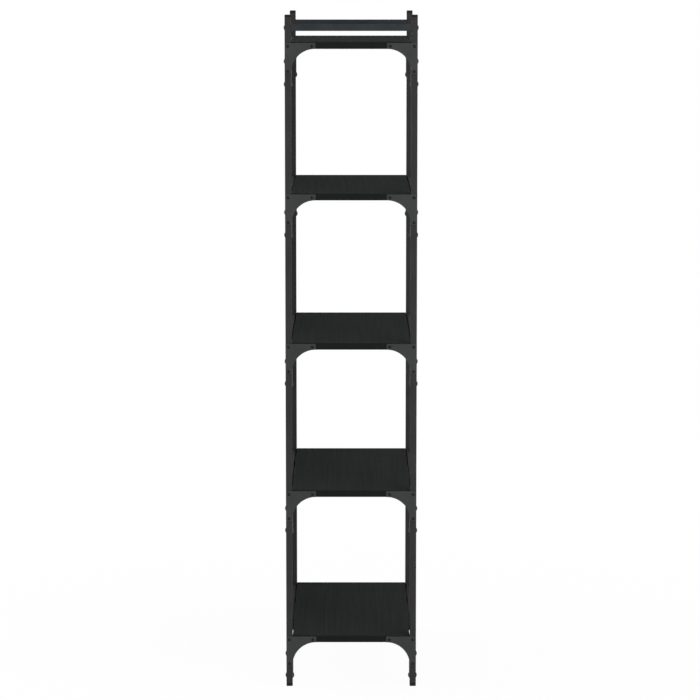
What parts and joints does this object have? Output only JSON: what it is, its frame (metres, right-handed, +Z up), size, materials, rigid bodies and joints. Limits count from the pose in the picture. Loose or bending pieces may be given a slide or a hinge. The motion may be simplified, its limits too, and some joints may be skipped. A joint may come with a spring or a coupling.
{
  "type": "bookcase",
  "caption": "Tall open bookcase: five dark boards in a bolted steel-tube frame with arched corner plates and top rails on its ends, post caps and foot glides.",
  "frame": {"origin": "on the floor at the middle of the footprint", "axes": "+Z up, the long front faces -Y, +X to the right seen from the front"},
  "size_m": [0.6064, 0.3166, 1.6095],
  "materials": {
    "frame_coat": "matt charcoal powder coat on square steel tube",
    "plate_coat": "matt grey powder coat on flat steel plate",
    "board": "dark faced particle board with edging",
    "plastic": "moulded black nylon",
    "fastener": "black zinc plated steel"
  },
  "bodies": {
    "root": {"shelf_1": "board", "long_rail_1_front": "frame_coat", "long_rail_1_back": "frame_coat", "left_gussets_1": "plate_coat", "right_gussets_1": "plate_coat", "shelf_2": "board", "long_rail_2_front": "frame_coat", "long_rail_2_back": "frame_coat", "left_gussets_2": "plate_coat", "right_gussets_2": "plate_coat", "shelf_3": "board", "long_rail_3_front": "frame_coat", "long_rail_3_back": "frame_coat", "left_gussets_3": "plate_coat", "right_gussets_3": "plate_coat", "shelf_4": "board", "long_rail_4_front": "frame_coat", "long_rail_4_back": "frame_coat", "left_gussets_4": "plate_coat", "right_gussets_4": "plate_coat", "shelf_5": "board", "long_rail_5_front": "frame_coat", "long_rail_5_back": "frame_coat", "left_gussets_5": "plate_coat", "right_gussets_5": "plate_coat", "foot_post_front_left": "frame_coat", "top_post_front_left": "frame_coat", "tier_post_1_front_left": "frame_coat", "tier_post_2_front_left": "frame_coat", "tier_post_3_front_left": "frame_coat", "tier_post_4_front_left": "frame_coat", "foot_post_front_right": "frame_coat", "top_post_front_right": "frame_coat", "tier_post_1_front_right": "frame_coat", "tier_post_2_front_right": "frame_coat", "tier_post_3_front_right": "frame_coat", "tier_post_4_front_right": "frame_coat", "foot_post_back_left": "frame_coat", "top_post_back_left": "frame_coat", "tier_post_1_back_left": "frame_coat", "tier_post_2_back_left": "frame_coat", "tier_post_3_back_left": "frame_coat", "tier_post_4_back_left": "frame_coat", "foot_post_back_right": "frame_coat", "top_post_back_right": "frame_coat", "tier_post_1_back_right": "frame_coat", "tier_post_2_back_right": "frame_coat", "tier_post_3_back_right": "frame_coat", "tier_post_4_back_right": "frame_coat", "top_rail_left": "frame_coat", "top_rail_right": "frame_coat", "splice_straps": "plate_coat", "splice_spigots": "plastic", "top_caps": "plastic", "foot_glides": "plastic", "dome_bolts": "fastener", "sleeve_nuts": "fastener", "top_rail_bolts": "fastener", "corner_bolts": "fastener", "screws": "fastener"}
  },
  "joints": []
}
